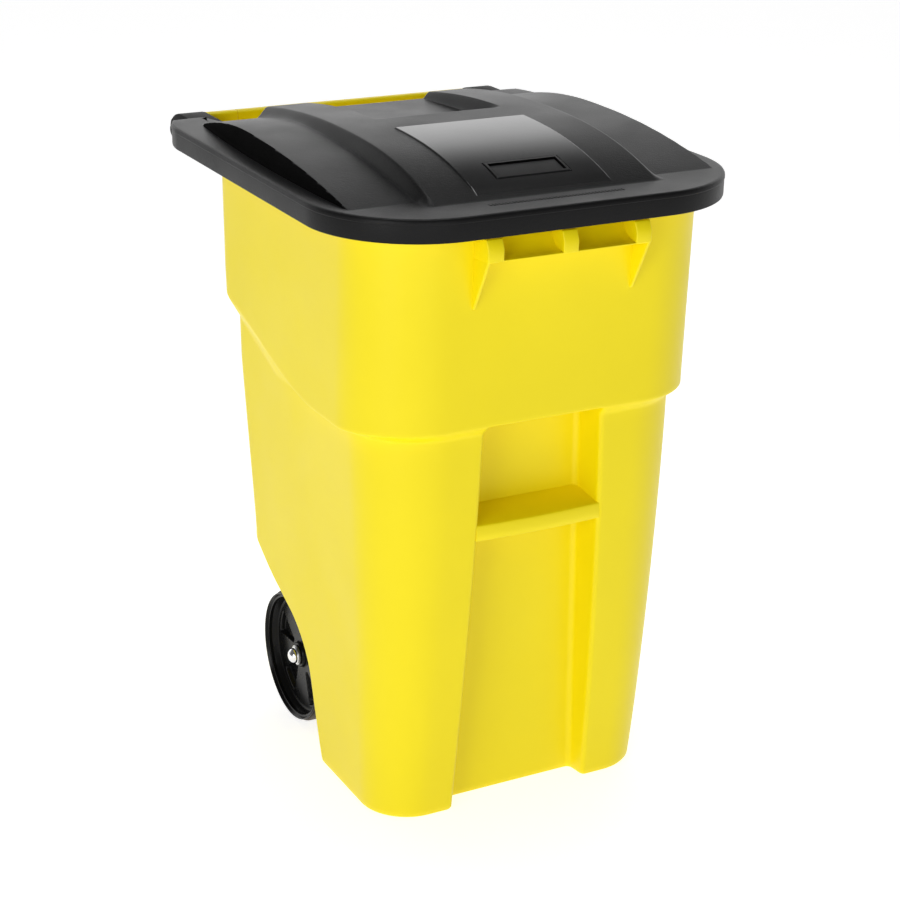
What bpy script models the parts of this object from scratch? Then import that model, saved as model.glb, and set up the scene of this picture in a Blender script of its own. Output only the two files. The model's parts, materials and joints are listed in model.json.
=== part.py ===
"""Wheeled waste bin: one-piece tub with a raised collar, hinged dome lid, rear grip and two 200 mm wheels.

Metres, +Z up. The origin is on the ground under the middle of the bin's bounding box, the front faces -Y.
"""

import math

import bmesh
import bpy
from mathutils import Matrix

# ---------------------------------------------------------------- driving sizes
# A "depth" or d below is a distance back from the lid's front edge.
WIDTH = 0.5944          # over the lid's skirt
DEPTH = 0.724           # lid's front edge to the back of the rear grip
WALL = 0.004            # tub wall
GAP = 0.0004            # clearance kept between pieces that touch

# tub, lower body: widths and depths at the ground and at the collar
BASE_HALF, NECK_HALF = 0.2136, 0.2375
BASE_FRONT, NECK_FRONT = 0.093, 0.0555
BASE_RADIUS, NECK_RADIUS = 0.070, 0.100
REAR_RADIUS = 0.042
NECK_Z = 0.575          # where the lower body ends and the collar starts
REAR_AT_NECK, REAR_SLOPE = 0.5506, 0.0843
FLOOR_EDGE = 0.004      # the floor's edge is drawn in by this much

# tub, collar (the larger upper section) and rim
COLLAR_HALF = 0.2565
COLLAR_FRONT, COLLAR_FRONT_SLOPE = 0.0471, -0.0375
COLLAR_REAR, COLLAR_REAR_SLOPE = 0.5545, 0.030
COLLAR_RADIUS = 0.106
STEP_Z, STEP_CLIMB, STEP_TOP = 0.586, 0.0835, 0.630
RIM_TOP, RIM_DROP, RIM_REACH = 0.8770, 0.019, 0.0290

# front channel with the lower lift bar
CHANNEL_HALF_BASE, CHANNEL_HALF_NECK = 0.1056, 0.0877
CHANNEL_FLOOR_BASE, CHANNEL_FLOOR_NECK = 0.1240, 0.1080
CHANNEL_DRAFT = 0.004
BAR_FRONT, BAR_BOTTOM, BAR_TOP, BAR_BOW, BAR_BACK = 0.060, 0.421, 0.444, 0.003, 0.1135

# front catch ledge under the rim
LEDGE_HALF, LEDGE_BLOCK, LEDGE_MID = 0.1185, 0.0230, 0.0110
LEDGE_FRONT, LEDGE_Z, LEDGE_KNEE_Z, LEDGE_TOP_Z = 0.0015, 0.8200, 0.8360, 0.8490
WEB_TIP_Z, WEB_THICK = 0.752, 0.0045
WALL_AT_LEDGE = 0.0405  # just inside the collar's front wall behind the ledge

# lid
SKIRT_Z, FLANGE_Z, LID_WALL = 0.852, 0.883, 0.0035
LID_RADIUS = 0.150
LID_BEND_D, LID_BEND_RADIUS, LID_BEND_DEG = 0.590, 0.120, 25.0
LID_REAR_D, LID_CORNER_D, LID_NOTCH_X = 0.608, 0.646, 0.224
DOME_FRONT, DOME_REAR, DOME_HALF = 0.088, 0.596, 0.269
BAND_FRONT, BAND_HALF, PANEL_HALF, RECESS_HALF = 0.060, 0.166, 0.098, 0.095
OUTER_PEAK, OUTER_PEAK_D = 0.9125, 0.405
INNER_PEAK, INNER_PEAK_D = 0.9250, 0.350
PANEL_RAISE, PANEL_REAR, RECESS_FLOOR, RECESS_D = 0.002, 0.303, 0.9055, 0.380
PLATE_HALF, PLATE_D0, PLATE_D1 = 0.054, 0.099, 0.138

# lid hinge and rear grip
HINGE_D, HINGE_Z = 0.704, 0.855
BARREL_RADIUS, ROD_RADIUS, ROD_HALF = 0.020, 0.005, 0.2605
KNUCKLE_IN, KNUCKLE_OUT = 0.2165, 0.2575
GRIP_HALF = 0.165

# axle and wheels
AXLE_D, AXLE_Z = 0.4464, 0.100
AXLE_RADIUS, AXLE_HALF, WHEEL_RADIUS = 0.008, 0.1955, 0.100
ARCH_RADIUS = 0.128
WHEEL_FACE, WHEEL_BACK = 0.1973, 0.1500
BRACKET_IN, BRACKET_OUT, BRACKET_EYE = 0.112, 0.128, 0.026
WHEEL_CENTRE = 0.174    # sideways distance of each wheel's joint
TREAD_LIP, TREAD_SEAT, WEB_RADIUS, WEB_SETBACK = 0.0965, 0.0900, 0.0850, 0.019


# ---------------------------------------------------------------- small helpers
def at(depth):
    """Row-frame Y of a distance measured back from the lid's front edge."""
    return depth - DEPTH / 2


def smooth(value, low, high):
    """0 below low, 1 above high, eased between."""
    t = min(max((value - low) / (high - low), 0.0), 1.0)
    return t * t * (3 - 2 * t)


def material(name, colour, roughness, metallic=0.0):
    made = bpy.data.materials.new(name)
    made.use_nodes = True
    shader = made.node_tree.nodes["Principled BSDF"]
    shader.inputs["Base Color"].default_value = (*colour, 1.0)
    shader.inputs["Roughness"].default_value = roughness
    shader.inputs["Metallic"].default_value = metallic
    return made


def mesh_object(name, points, faces, look=None):
    """An object from points and faces, its normals made to point out."""
    mesh = bpy.data.meshes.new(name)
    mesh.from_pydata(points, [], faces)
    bm = bmesh.new()
    bm.from_mesh(mesh)
    bmesh.ops.recalc_face_normals(bm, faces=bm.faces)
    bm.to_mesh(mesh)
    bm.free()
    made = bpy.data.objects.new(name, mesh)
    bpy.context.scene.collection.objects.link(made)
    if look:
        mesh.materials.append(look)
    return made


def loft(name, rings, look=None):
    """A closed solid through rings of equal length, capped at both ends."""
    count = len(rings[0])
    points = [p for ring in rings for p in ring]
    faces = [tuple(range(count))[::-1], tuple(range(len(points) - count, len(points)))]
    for k in range(len(rings) - 1):
        low, high = k * count, (k + 1) * count
        faces += [(low + i, low + (i + 1) % count, high + (i + 1) % count, high + i) for i in range(count)]
    return mesh_object(name, points, faces, look)


def prism_x(name, outline, x0, x1, look=None):
    """A prism along X. The outline's points are (depth from the lid's front, height)."""
    return loft(name, [[(x, at(d), z) for d, z in outline] for x in (x0, x1)], look)


def arc(centre, radius, start, end, steps):
    """Points on an arc, angles in degrees."""
    turns = [math.radians(start + (end - start) * i / steps) for i in range(steps + 1)]
    return [(centre[0] + radius * math.cos(a), centre[1] + radius * math.sin(a)) for a in turns]


def turned_x(name, profile, d, z, look=None, steps=32):
    """A solid of revolution about an X axis at (d, z). The profile's points are (x, radius), all above 0."""
    rings = []
    for i in range(steps):
        a = 2 * math.pi * i / steps
        rings.append([(x, at(d) + r * math.cos(a), z + r * math.sin(a)) for x, r in profile])
    count = len(profile)
    points = [p for ring in rings for p in ring]
    faces = []
    for k in range(steps):
        here, there = k * count, (k + 1) % steps * count
        for i in range(count):
            j = (i + 1) % count
            faces.append((here + i, here + j, there + j, there + i))
    return mesh_object(name, points, faces, look)


def rod_x(name, x0, x1, radius, d, z, look=None, steps=32):
    """A plain round bar along X."""
    return prism_x(name, arc((d, z), radius, 0, 360 - 360 / steps, steps - 1), x0, x1, look)


def combine(target, other, operation):
    """Adds a Boolean of a helper object, which is then kept out of the model."""
    step = target.modifiers.new(operation.lower(), "BOOLEAN")
    step.operation = operation
    step.object = other
    step.solver = "EXACT"
    other.hide_render = True
    other.display_type = "WIRE"


def cut(target, other):
    combine(target, other, "DIFFERENCE")


def add(target, other):
    combine(target, other, "UNION")


def pivot(name, x, d, z):
    """An empty on a joint's axis."""
    made = bpy.data.objects.new(name, None)
    made.location = (x, at(d), z)
    bpy.context.scene.collection.objects.link(made)
    return made


def hang(piece, empty):
    """Parents a piece to a joint's empty and moves its origin there. Its shape stays where it is."""
    piece.data.transform(Matrix.Translation(-empty.location))
    piece.parent = empty


def mirrored(points):
    return [(-x, y) for x, y in reversed(points)]


# ---------------------------------------------------------------- tub
def rounded_outline(half, front, rear, front_radius, rear_radius):
    """Plan outline as (x, depth) points: straight sides with a few stations each, and rounded corners."""
    right = []
    for i in range(3):
        right.append(((half - front_radius) * i / 3, front))
    right += arc((half - front_radius, front + front_radius), front_radius, -90, 0, 7)
    low, high = front + front_radius, rear - rear_radius
    right += [(half, low + (high - low) * i / 9) for i in range(1, 9)]
    right += arc((half - rear_radius, rear - rear_radius), rear_radius, 0, 90, 4)
    right.append(((half - rear_radius) / 2, rear))
    return right + [(0.0, rear)] + mirrored(right[1:])


def lower_section(z, inset=0.0):
    """Outline of the lower body at height z, moved in by inset."""
    t = min(z / NECK_Z, 1.0)
    half = BASE_HALF + (NECK_HALF - BASE_HALF) * t ** 0.8
    front = NECK_FRONT + (BASE_FRONT - NECK_FRONT) * (1 - t) ** 1.6
    radius = BASE_RADIUS + (NECK_RADIUS - BASE_RADIUS) * t
    rear = REAR_AT_NECK + REAR_SLOPE * (z - NECK_Z)
    return rounded_outline(half - inset, front + inset, rear - inset, radius - inset, REAR_RADIUS - inset)


def collar_section(z, inset=0.0):
    """Outline of the collar at height z, moved in by inset (out when it is negative)."""
    front = COLLAR_FRONT + COLLAR_FRONT_SLOPE * (z - STEP_Z)
    rear = COLLAR_REAR + COLLAR_REAR_SLOPE * (z - NECK_Z)
    return rounded_outline(
        COLLAR_HALF - inset, front + inset, rear - inset, COLLAR_RADIUS - inset, REAR_RADIUS + 0.004 - inset
    )


def step_outer(d):
    """Height of the collar's lower edge, which climbs towards the rear."""
    return STEP_Z - 0.0075 * smooth(d, 0.05, 0.16) + STEP_CLIMB * smooth(d, 0.225, 0.590) ** 0.9


def step_inner(d):
    """Height of the corner where the collar's underside meets the lower body."""
    return min(step_outer(d) - 0.004, NECK_Z - 0.0005 + 0.36 * max(0.0, d - 0.385), STEP_TOP)


def tub_rings(inset, floor):
    """Rings from the floor to the rim: the lower body, the climbing step, the collar."""
    rings = [[(x, at(d), floor) for x, d in lower_section(floor, inset + FLOOR_EDGE)]]
    for z in (floor + 0.007, 0.080, 0.160, 0.240, 0.320, 0.400, 0.480, 0.560):
        rings.append([(x, at(d), z) for x, d in lower_section(z, inset)])
    rings.append([(x, at(d), step_inner(d) + inset) for x, d in lower_section(NECK_Z, inset)])
    rings.append([(x, at(d), step_outer(d) + inset) for x, d in collar_section(0.600, inset)])
    for z in (0.700, 0.790):
        rings.append([(x, at(d), z) for x, d in collar_section(z, inset)])
    return rings


def channel_block(name, grow):
    """The space of the front channel, grown by one wall to shape the inside."""
    rings = []
    for z, half, floor in (
        (-0.020, CHANNEL_HALF_BASE, CHANNEL_FLOOR_BASE),
        (NECK_Z + 0.006 + grow, CHANNEL_HALF_NECK, CHANNEL_FLOOR_NECK),
    ):
        side, back = half + grow, floor + grow
        ring = [(-side, -0.05), (side, -0.05), (side, 0.080), (side - CHANNEL_DRAFT, back)]
        ring += [(0.0, back + 0.002), (CHANNEL_DRAFT - side, back), (-side, 0.080)]
        rings.append([(x, at(d), z) for x, d in ring])
    return loft(name, rings)


def arch_outline(grow):
    """Side view of the space cut away for the wheels, grown by one wall to shape the inside."""
    foot = 0.299 - grow
    curve = arc((AXLE_D, AXLE_Z), ARCH_RADIUS + grow, 164, 116, 6)
    end = curve[-1]
    return [(foot - 0.005, -0.03), *curve, (end[0] + 0.25, end[1] + 0.12), (end[0] + 0.25, -0.03)]


def bracket_outline():
    """Side view of one axle bracket: an eye round the axle, widening up to the slope over the wheels."""
    eye = arc((AXLE_D, AXLE_Z), BRACKET_EYE, 195, 375, 12)
    return [(0.353, 0.196), *eye, (0.478, 0.262), (0.420, 0.2335)]


def rim_ring(inset, z):
    return [(x, at(d), z) for x, d in collar_section(RIM_TOP, inset)]


def make_ledge(tub, look):
    """Catch ledge: a shelf under the rim with three blocks above it and a tapering web at each end."""
    front, wall, low = LEDGE_FRONT, WALL_AT_LEDGE, LEDGE_Z
    shelf = [(front, low), (front, low + 0.004), (0.026, low + 0.010), (wall, 0.846), (wall, low)]
    add(tub, prism_x("ledge_shelf", shelf, -LEDGE_HALF, LEDGE_HALF, look))
    block = [(front, low), (front, LEDGE_KNEE_Z), (0.008, LEDGE_TOP_Z), (wall, LEDGE_TOP_Z), (wall, low)]
    for name, x0, x1 in (
        ("ledge_block_left", -LEDGE_HALF, LEDGE_BLOCK - LEDGE_HALF),
        ("ledge_block_middle", -LEDGE_MID, LEDGE_MID),
        ("ledge_block_right", LEDGE_HALF - LEDGE_BLOCK, LEDGE_HALF),
    ):
        add(tub, prism_x(name, block, x0, x1, look))
    web = [(front, low + 0.002), (wall + 0.001, low + 0.002)]
    web += [(wall + 0.003, WEB_TIP_Z), (wall - 0.001, WEB_TIP_Z)]
    for name, x0 in (("ledge_web_left", -LEDGE_HALF), ("ledge_web_right", LEDGE_HALF - WEB_THICK)):
        add(tub, prism_x(name, web, x0, x0 + WEB_THICK, look))


def make_lift_bar(tub, look):
    """Lower lift bar across the channel: a shelf with a turned-down front face, bowed a little forward."""
    panes = 7             # an odd number gives a flat pane in the middle
    half = CHANNEL_HALF_NECK + 0.0062
    rings = []
    for i in range(panes + 1):
        s = -1 + 2 * i / panes
        front = BAR_FRONT - BAR_BOW * (1 - s * s)
        x = s * half
        profile = [(front, BAR_BOTTOM), (front, BAR_TOP), (BAR_BACK, BAR_TOP + 0.010)]
        profile += [(BAR_BACK, BAR_TOP + 0.004), (front + WALL, BAR_TOP - WALL), (front + WALL, BAR_BOTTOM)]
        rings.append([(x, at(d), z) for d, z in profile])
    add(tub, loft("lift_bar", rings, look))


def grip_profile():
    """Side view of the rear grip: upright front face, top falling away to a rounded back."""
    front = [(0.6910, 0.8365), (0.6860, 0.8400), (0.6860, 0.8740), (0.6885, 0.8785), (0.6940, 0.8790)]
    back = [(0.7080, 0.8740), (0.7190, 0.8660), (DEPTH, HINGE_Z)]
    back += [(0.7225, 0.8460), (0.7160, 0.8390), (0.7070, 0.8360)]
    return front + back


def make_grip_arms(tub, look):
    """Two arms from the tub's rear wall back to the grip. Their ends carry the hinge rod."""
    arm = [(0.5600, 0.8480), (0.5600, 0.8625), (0.5900, 0.8680), (0.6400, 0.8680), (0.6890, 0.8620)]
    arm += [(0.6890, 0.8430), (0.6200, 0.8320), (0.5600, 0.7600)]
    for side, name in ((-1, "left"), (1, "right")):
        x0, x1 = sorted((side * (GRIP_HALF + GAP), side * (KNUCKLE_IN - 0.001)))
        add(tub, prism_x("grip_end_" + name, grip_profile(), x0, x1, look))
        a0, a1 = sorted((side * (GRIP_HALF + 0.006), side * (KNUCKLE_IN - 0.007)))
        add(tub, prism_x("grip_arm_" + name, arm, a0, a1, look))


def make_rim(look):
    """Flat rim round the tub's mouth with a turned-down outer lip."""
    low, inner = RIM_TOP - RIM_DROP, WALL - RIM_REACH
    rim = loft("rim", [rim_ring(-RIM_REACH, low), rim_ring(-RIM_REACH, RIM_TOP)], look)
    under = loft("rim_under", [rim_ring(inner, low - 0.01), rim_ring(inner, RIM_TOP - WALL)])
    core = loft("rim_core", [rim_ring(0.0010, low - 0.02), rim_ring(0.0010, RIM_TOP + 0.001)])
    cut(under, core)
    cut(rim, under)
    return rim


def make_tub(look):
    """The tub: outer body, rim, bar, ledge, arms and brackets, hollowed out, then the axle and rod holes."""
    tub = loft("tub", tub_rings(0.0, 0.0) + [rim_ring(0.0, RIM_TOP)], look)
    inside = loft("tub_inside", tub_rings(WALL, WALL + 0.001) + [rim_ring(WALL, RIM_TOP + 0.02)])
    cut(inside, channel_block("channel_wall", WALL))
    cut(inside, prism_x("arch_wall", arch_outline(WALL), -WIDTH, WIDTH))
    cut(tub, channel_block("channel", 0.0))
    cut(tub, prism_x("arch", arch_outline(0.0), -WIDTH, WIDTH))
    add(tub, make_rim(look))
    make_lift_bar(tub, look)
    make_ledge(tub, look)
    make_grip_arms(tub, look)
    for side, name in ((-1, "left"), (1, "right")):
        x0, x1 = sorted((side * BRACKET_IN, side * BRACKET_OUT))
        add(tub, prism_x("axle_bracket_" + name, bracket_outline(), x0, x1, look))
    cut(tub, inside)
    cut(tub, rod_x("axle_hole", -WHEEL_BACK, WHEEL_BACK, AXLE_RADIUS + GAP, AXLE_D, AXLE_Z))
    cut(tub, rod_x("rod_hole", -0.23, 0.23, ROD_RADIUS + GAP, HINGE_D, HINGE_Z))


# ---------------------------------------------------------------- lid
def lid_outline(inset=0.0):
    """Plan outline as (x, depth) points: large front corners, and sides that bend in to each rear corner."""
    half, radius = WIDTH / 2 - inset, LID_RADIUS - inset
    right = [(0.0, inset), ((half - radius) / 2, inset)]
    right += arc((half - radius, inset + radius), radius, -90, 0, 10)
    right += arc((half - LID_BEND_RADIUS, LID_BEND_D), LID_BEND_RADIUS, 0, LID_BEND_DEG, 4)
    corner = right[-1]
    right += [(corner[0] - 0.0025, LID_CORNER_D - inset), (LID_NOTCH_X + 0.014, LID_CORNER_D - inset)]
    right += [(LID_NOTCH_X, LID_REAR_D - inset), (0.0, LID_REAR_D - inset)]
    return right + mirrored(right[1:-1])


def dome_height(x, d):
    """Top surface of the dome: low outer bands, a raised middle band with a front panel and a rear recess."""
    across = abs(x)
    if d < OUTER_PEAK_D:
        reach = 1 - min(1.0, (OUTER_PEAK_D - d) / (OUTER_PEAK_D - DOME_FRONT)) ** 2.2
    else:
        reach = 1 - ((d - OUTER_PEAK_D) / 0.200) ** 2
    if d < INNER_PEAK_D:
        rise = 1 - min(1.0, (INNER_PEAK_D - d) / (INNER_PEAK_D - BAND_FRONT)) ** 2.8
    else:
        rise = 1 - ((d - INNER_PEAK_D) / 0.334) ** 2
    outer = FLANGE_Z + (OUTER_PEAK - FLANGE_Z) * reach
    inner = FLANGE_Z + (INNER_PEAK - FLANGE_Z) * rise
    height = outer + (inner - outer) * (1 - smooth(across, BAND_HALF - 0.003, BAND_HALF + 0.007))
    panel = 1 - smooth(across, PANEL_HALF - 0.001, PANEL_HALF + 0.001)
    panel *= 1 - smooth(d, PANEL_REAR - 0.002, PANEL_REAR + 0.002)
    height += PANEL_RAISE * panel * smooth(d, 0.066, 0.090)
    floor = RECESS_FLOOR - 0.055 * max(0.0, d - RECESS_D)
    dip = 1 - smooth(across, RECESS_HALF - 0.004, RECESS_HALF + 0.004)
    dip *= smooth(d, RECESS_D - 0.012, RECESS_D + 0.012)
    return height + (min(floor, height) - height) * dip


def dome_grid(drop):
    """Stations across and along, and the dome's height at each, lowered by drop."""
    across = [DOME_HALF - drop, 0.261 - drop, 0.215, BAND_HALF + 0.007, BAND_HALF - 0.003]
    across += [RECESS_HALF + 0.004, PANEL_HALF - 0.001, RECESS_HALF - 0.004, 0.050]
    across = [-x for x in across] + [0.0] + across[::-1]
    along = [0.062 + drop, 0.070 + drop, 0.090, 0.110, 0.135, 0.165, 0.200, 0.240, 0.275]
    along += [PANEL_REAR - 0.002, PANEL_REAR + 0.002, 0.340, RECESS_D - 0.012, RECESS_D, RECESS_D + 0.012]
    along += [0.430, 0.480, 0.540]
    along += [0.583 - drop, 0.590 - drop, DOME_REAR - drop]
    return across, along


def dome_station(x, d):
    """A station's x at depth d, pulled in where the lid's front corners round off."""
    steady = 0.240        # stations nearer the middle than this stay put
    if d >= LID_RADIUS or abs(x) <= steady:
        return x
    limit = WIDTH / 2 - LID_RADIUS + math.sqrt(LID_RADIUS ** 2 - (LID_RADIUS - d) ** 2) - 0.010
    squeeze = (min(limit, DOME_HALF) - steady) / (DOME_HALF - steady)
    return math.copysign(steady + (abs(x) - steady) * squeeze, x)


def dome_solid(name, drop, base, look=None):
    """The dome as a closed solid standing on a flat base."""
    across, along = dome_grid(drop)
    count, crest = len(across), len(along) - 3
    share_left = {crest + 1: 0.75, crest + 2: 0.0}     # the dome's rear end falls to the flange
    top, bottom = [], []
    for j, d in enumerate(along):
        for i, x in enumerate(across):
            rise = max(0.0, dome_height(x, along[min(j, crest)]) - FLANGE_Z) * share_left.get(j, 1.0)
            if i in (0, count - 1):
                rise = 0.0
            top.append((dome_station(x, d), at(d), FLANGE_Z + rise - drop))
            bottom.append((dome_station(x, d), at(d), base))
    points = top + bottom
    shift = len(top)
    faces = []
    for j in range(len(along) - 1):
        for i in range(count - 1):
            a = j * count + i
            faces.append((a, a + 1, a + count + 1, a + count))
            faces.append((shift + a, shift + a + count, shift + a + count + 1, shift + a + 1))
    border = list(range(count))
    border += [j * count + count - 1 for j in range(1, len(along))]
    border += list(range(shift - 2, shift - count - 1, -1))
    border += [j * count for j in range(len(along) - 2, 0, -1)]
    for k, a in enumerate(border):
        b = border[(k + 1) % len(border)]
        faces.append((b, a, shift + a, shift + b))
    return mesh_object(name, points, faces, look)


def make_lid(look):
    """Lid: flange with a turned-down skirt, hollow dome, and a hinge knuckle at each rear corner."""
    top = FLANGE_Z
    edge = ((0.0, SKIRT_Z), (0.0, top - 0.005), (0.0015, top - 0.0015), (0.005, top))
    lid = loft("lid", [[(x, at(d), z) for x, d in lid_outline(inset)] for inset, z in edge], look)
    inner_heights = (SKIRT_Z - 0.01, top - LID_WALL)
    under = loft("lid_under", [[(x, at(d), z) for x, d in lid_outline(LID_WALL)] for z in inner_heights])
    open_rear = ((-0.262, 0.60), (0.262, 0.60), (0.262, 0.70), (-0.262, 0.70))
    rear_gap = loft("rear_gap", [[(x, at(d), z) for x, d in open_rear] for z in inner_heights])
    cut(lid, rear_gap)
    cut(lid, under)
    add(lid, dome_solid("dome", 0.0, top - 0.002, look))
    cut(lid, dome_solid("dome_inside", LID_WALL, top - 0.01))
    for side, name in ((-1, "left"), (1, "right")):
        add_knuckle(lid, side, name, look)
    cut(lid, rod_x("knuckle_hole", -WIDTH / 2, WIDTH / 2, ROD_RADIUS + GAP, HINGE_D, HINGE_Z))
    cut(lid, plate_solid("plate_pocket", GAP, -0.0016, 0.006))
    return lid


def add_knuckle(lid, side, name, look):
    """A hinge knuckle: a barrel round the rod, its arm, and a wing that joins both to the skirt's corner."""
    x0, x1 = sorted((side * KNUCKLE_IN, side * KNUCKLE_OUT))
    barrel = arc((HINGE_D, HINGE_Z), BARREL_RADIUS, 40, -125, 12)
    start, skin = 0.603, FLANGE_Z - 0.0005
    arm = [(start, skin), (0.680, skin), (0.693, 0.8810), (0.704, 0.8780), (0.7135, 0.8730)]
    arm += [*barrel, (0.660, 0.8560), (start, 0.8700)]
    add(lid, prism_x("knuckle_" + name, arm, x0, x1, look))
    wing = [(KNUCKLE_IN, 0.600), (0.2935, 0.600), (0.2935, 0.612), (0.2800, 0.645)]
    wing += [(0.2570, 0.678), (0.2570, 0.690), (0.2400, 0.690), (KNUCKLE_IN, 0.664)]
    add(lid, loft("wing_" + name, [[(side * x, at(d), z) for x, d in wing] for z in (0.8575, 0.8700)], look))


def plate_solid(name, grow, low, high, look=None):
    """A thin curved block that follows the dome's front slope, between two offsets from its surface."""
    depths = [PLATE_D0 - grow + (PLATE_D1 - PLATE_D0 + 2 * grow) * i / 4 for i in range(5)]
    rings = []
    for x in (-PLATE_HALF - grow, PLATE_HALF + grow):
        lower = [(x, at(d), dome_height(0.0, d) + low) for d in depths]
        upper = [(x, at(d), dome_height(0.0, d) + high) for d in reversed(depths)]
        rings.append(lower + upper)
    return loft(name, rings, look)


# ---------------------------------------------------------------- wheels and axle
def spoke_pocket(name, angle, side):
    """One of the tapered openings in the wheel's web."""
    points = [(0.032, -15), (0.073, -18), (0.0765, 0), (0.073, 18), (0.032, 15)]
    outline = []
    for r, a in points:
        turn = math.radians(angle + a)
        outline.append((AXLE_D + r * math.cos(turn), AXLE_Z + r * math.sin(turn)))
    return prism_x(name, outline, *sorted((side * 0.14, side * 0.21)))


def make_wheel(side, name, look):
    """Moulded wheel: deep dish, web with five openings, tread seat between two lips."""
    lip, seat, web = TREAD_LIP, TREAD_SEAT, WEB_RADIUS
    hub, bore = 0.0185, 0.0113
    front, back = WEB_SETBACK, WEB_SETBACK + 0.004
    face = [(0.0, lip), (0.0, lip - 0.003), (front, web), (front, 0.020), (0.013, hub), (0.013, bore)]
    deep = WHEEL_FACE - WHEEL_BACK
    rear = [(deep - 0.002, bore), (deep - 0.002, hub), (back, 0.022), (back, web), (deep, seat - 0.004)]
    tread = [(deep, lip - 0.001), (deep - 0.003, lip), (deep - 0.0045, seat), (0.0045, seat), (0.003, lip)]
    profile = [(side * (WHEEL_FACE - x), r) for x, r in face + rear + tread]
    wheel = turned_x("wheel_" + name, profile, AXLE_D, AXLE_Z, look, 48)
    for k in range(5):
        cut(wheel, spoke_pocket(f"pocket_{name}_{k}", 90 + 72 * k, side))
    return wheel


def make_running_gear(side, name, looks):
    """The pieces on one end of the axle. The wheel, tyre and bush turn together."""
    turning = pivot(f"wheel_{name}_spin", side * WHEEL_CENTRE, AXLE_D, AXLE_Z)
    hang(make_wheel(side, name, looks["black"]), turning)
    bore, under = AXLE_RADIUS + GAP, TREAD_SEAT + GAP
    inner, outer = WHEEL_BACK + 0.0060, WHEEL_FACE - 0.0060
    tread = [(inner, under), (inner, 0.0985), (inner + 0.003, WHEEL_RADIUS)]
    tread += [(outer - 0.003, WHEEL_RADIUS), (outer, 0.0985), (outer, under)]
    tread = [(side * x, r) for x, r in tread]
    hang(turned_x("tyre_" + name, tread, AXLE_D, AXLE_Z, looks["tyre"], 64), turning)
    rings = (
        ("hub_bush_" + name, WHEEL_BACK + 0.0015, WHEEL_FACE - 0.0125, 0.0109, "nylon"),
        ("spacer_" + name, BRACKET_OUT + GAP, 0.1460, 0.0125, "nylon"),
        ("inner_washer_" + name, 0.1464, 0.1484, 0.0150, "steel"),
        ("outer_washer_" + name, WHEEL_FACE - 0.0117, WHEEL_FACE - 0.0097, 0.0150, "steel"),
    )
    for piece, x0, x1, radius, look in rings:
        ring = [(side * x0, bore), (side * x0, radius), (side * x1, radius), (side * x1, bore)]
        made = turned_x(piece, ring, AXLE_D, AXLE_Z, looks[look], 24)
        if piece.startswith("hub_bush"):
            hang(made, turning)
    start = WHEEL_FACE - 0.0093
    cap = [(0.0, bore), (0.0, 0.0130), (0.0015, 0.0130), (0.0075, 0.0115), (0.0110, 0.0075), (0.0120, 0.0010)]
    cap += [(0.0105, 0.0010), (0.0095, bore)]
    cap = [(side * (start + x), r) for x, r in cap]
    turned_x("axle_cap_" + name, cap, AXLE_D, AXLE_Z, looks["chrome"], 24)


# ---------------------------------------------------------------- assembly
def main():
    for old in list(bpy.data.objects):
        bpy.data.objects.remove(old)
    looks = {
        "yellow": material("yellow_plastic", (0.87, 0.72, 0.01), 0.45),
        "black": material("black_plastic", (0.02, 0.02, 0.021), 0.45),
        "tyre": material("tyre_rubber", (0.07, 0.06, 0.05), 0.85),
        "nylon": material("nylon", (0.75, 0.74, 0.70), 0.5),
        "steel": material("zinc_steel", (0.6, 0.6, 0.6), 0.35, 1.0),
        "chrome": material("chrome", (0.8, 0.8, 0.8), 0.08, 1.0),
    }
    make_tub(looks["yellow"])
    grip = prism_x("rear_grip", grip_profile(), -GRIP_HALF, GRIP_HALF, looks["yellow"])
    cut(grip, rod_x("grip_hole", -0.2, 0.2, ROD_RADIUS + GAP, HINGE_D, HINGE_Z))
    rod_x("hinge_rod", -ROD_HALF, ROD_HALF, ROD_RADIUS, HINGE_D, HINGE_Z, looks["steel"], 24)
    lid_pivot = pivot("lid_hinge", 0.0, HINGE_D, HINGE_Z)
    hang(make_lid(looks["black"]), lid_pivot)
    hang(plate_solid("lid_nameplate", 0.0, -0.0012, 0.0006, looks["black"]), lid_pivot)
    rod_x("axle", -AXLE_HALF, AXLE_HALF, AXLE_RADIUS, AXLE_D, AXLE_Z, looks["steel"])
    bore = ROD_RADIUS + GAP
    for side, name in ((-1, "left"), (1, "right")):
        cap = [(0.2581, bore), (0.2581, 0.010), (0.2600, 0.010), (0.2625, 0.007)]
        cap += [(0.2630, 0.001), (0.2610, 0.001), (0.2609, bore)]
        turned_x("rod_cap_" + name, [(side * x, r) for x, r in cap], HINGE_D, HINGE_Z, looks["black"], 24)
        make_running_gear(side, name, looks)


main()
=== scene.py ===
"""Studio scene of the wheeled waste bin: moulded shells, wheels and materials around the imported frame.

Metres, +Z up, the bin's front faces -Y. A "depth" is a distance measured back from the lid's front edge.
"""

import json
import math

import bmesh
import bpy
import numpy as np
from mathutils import Matrix, Vector


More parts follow.
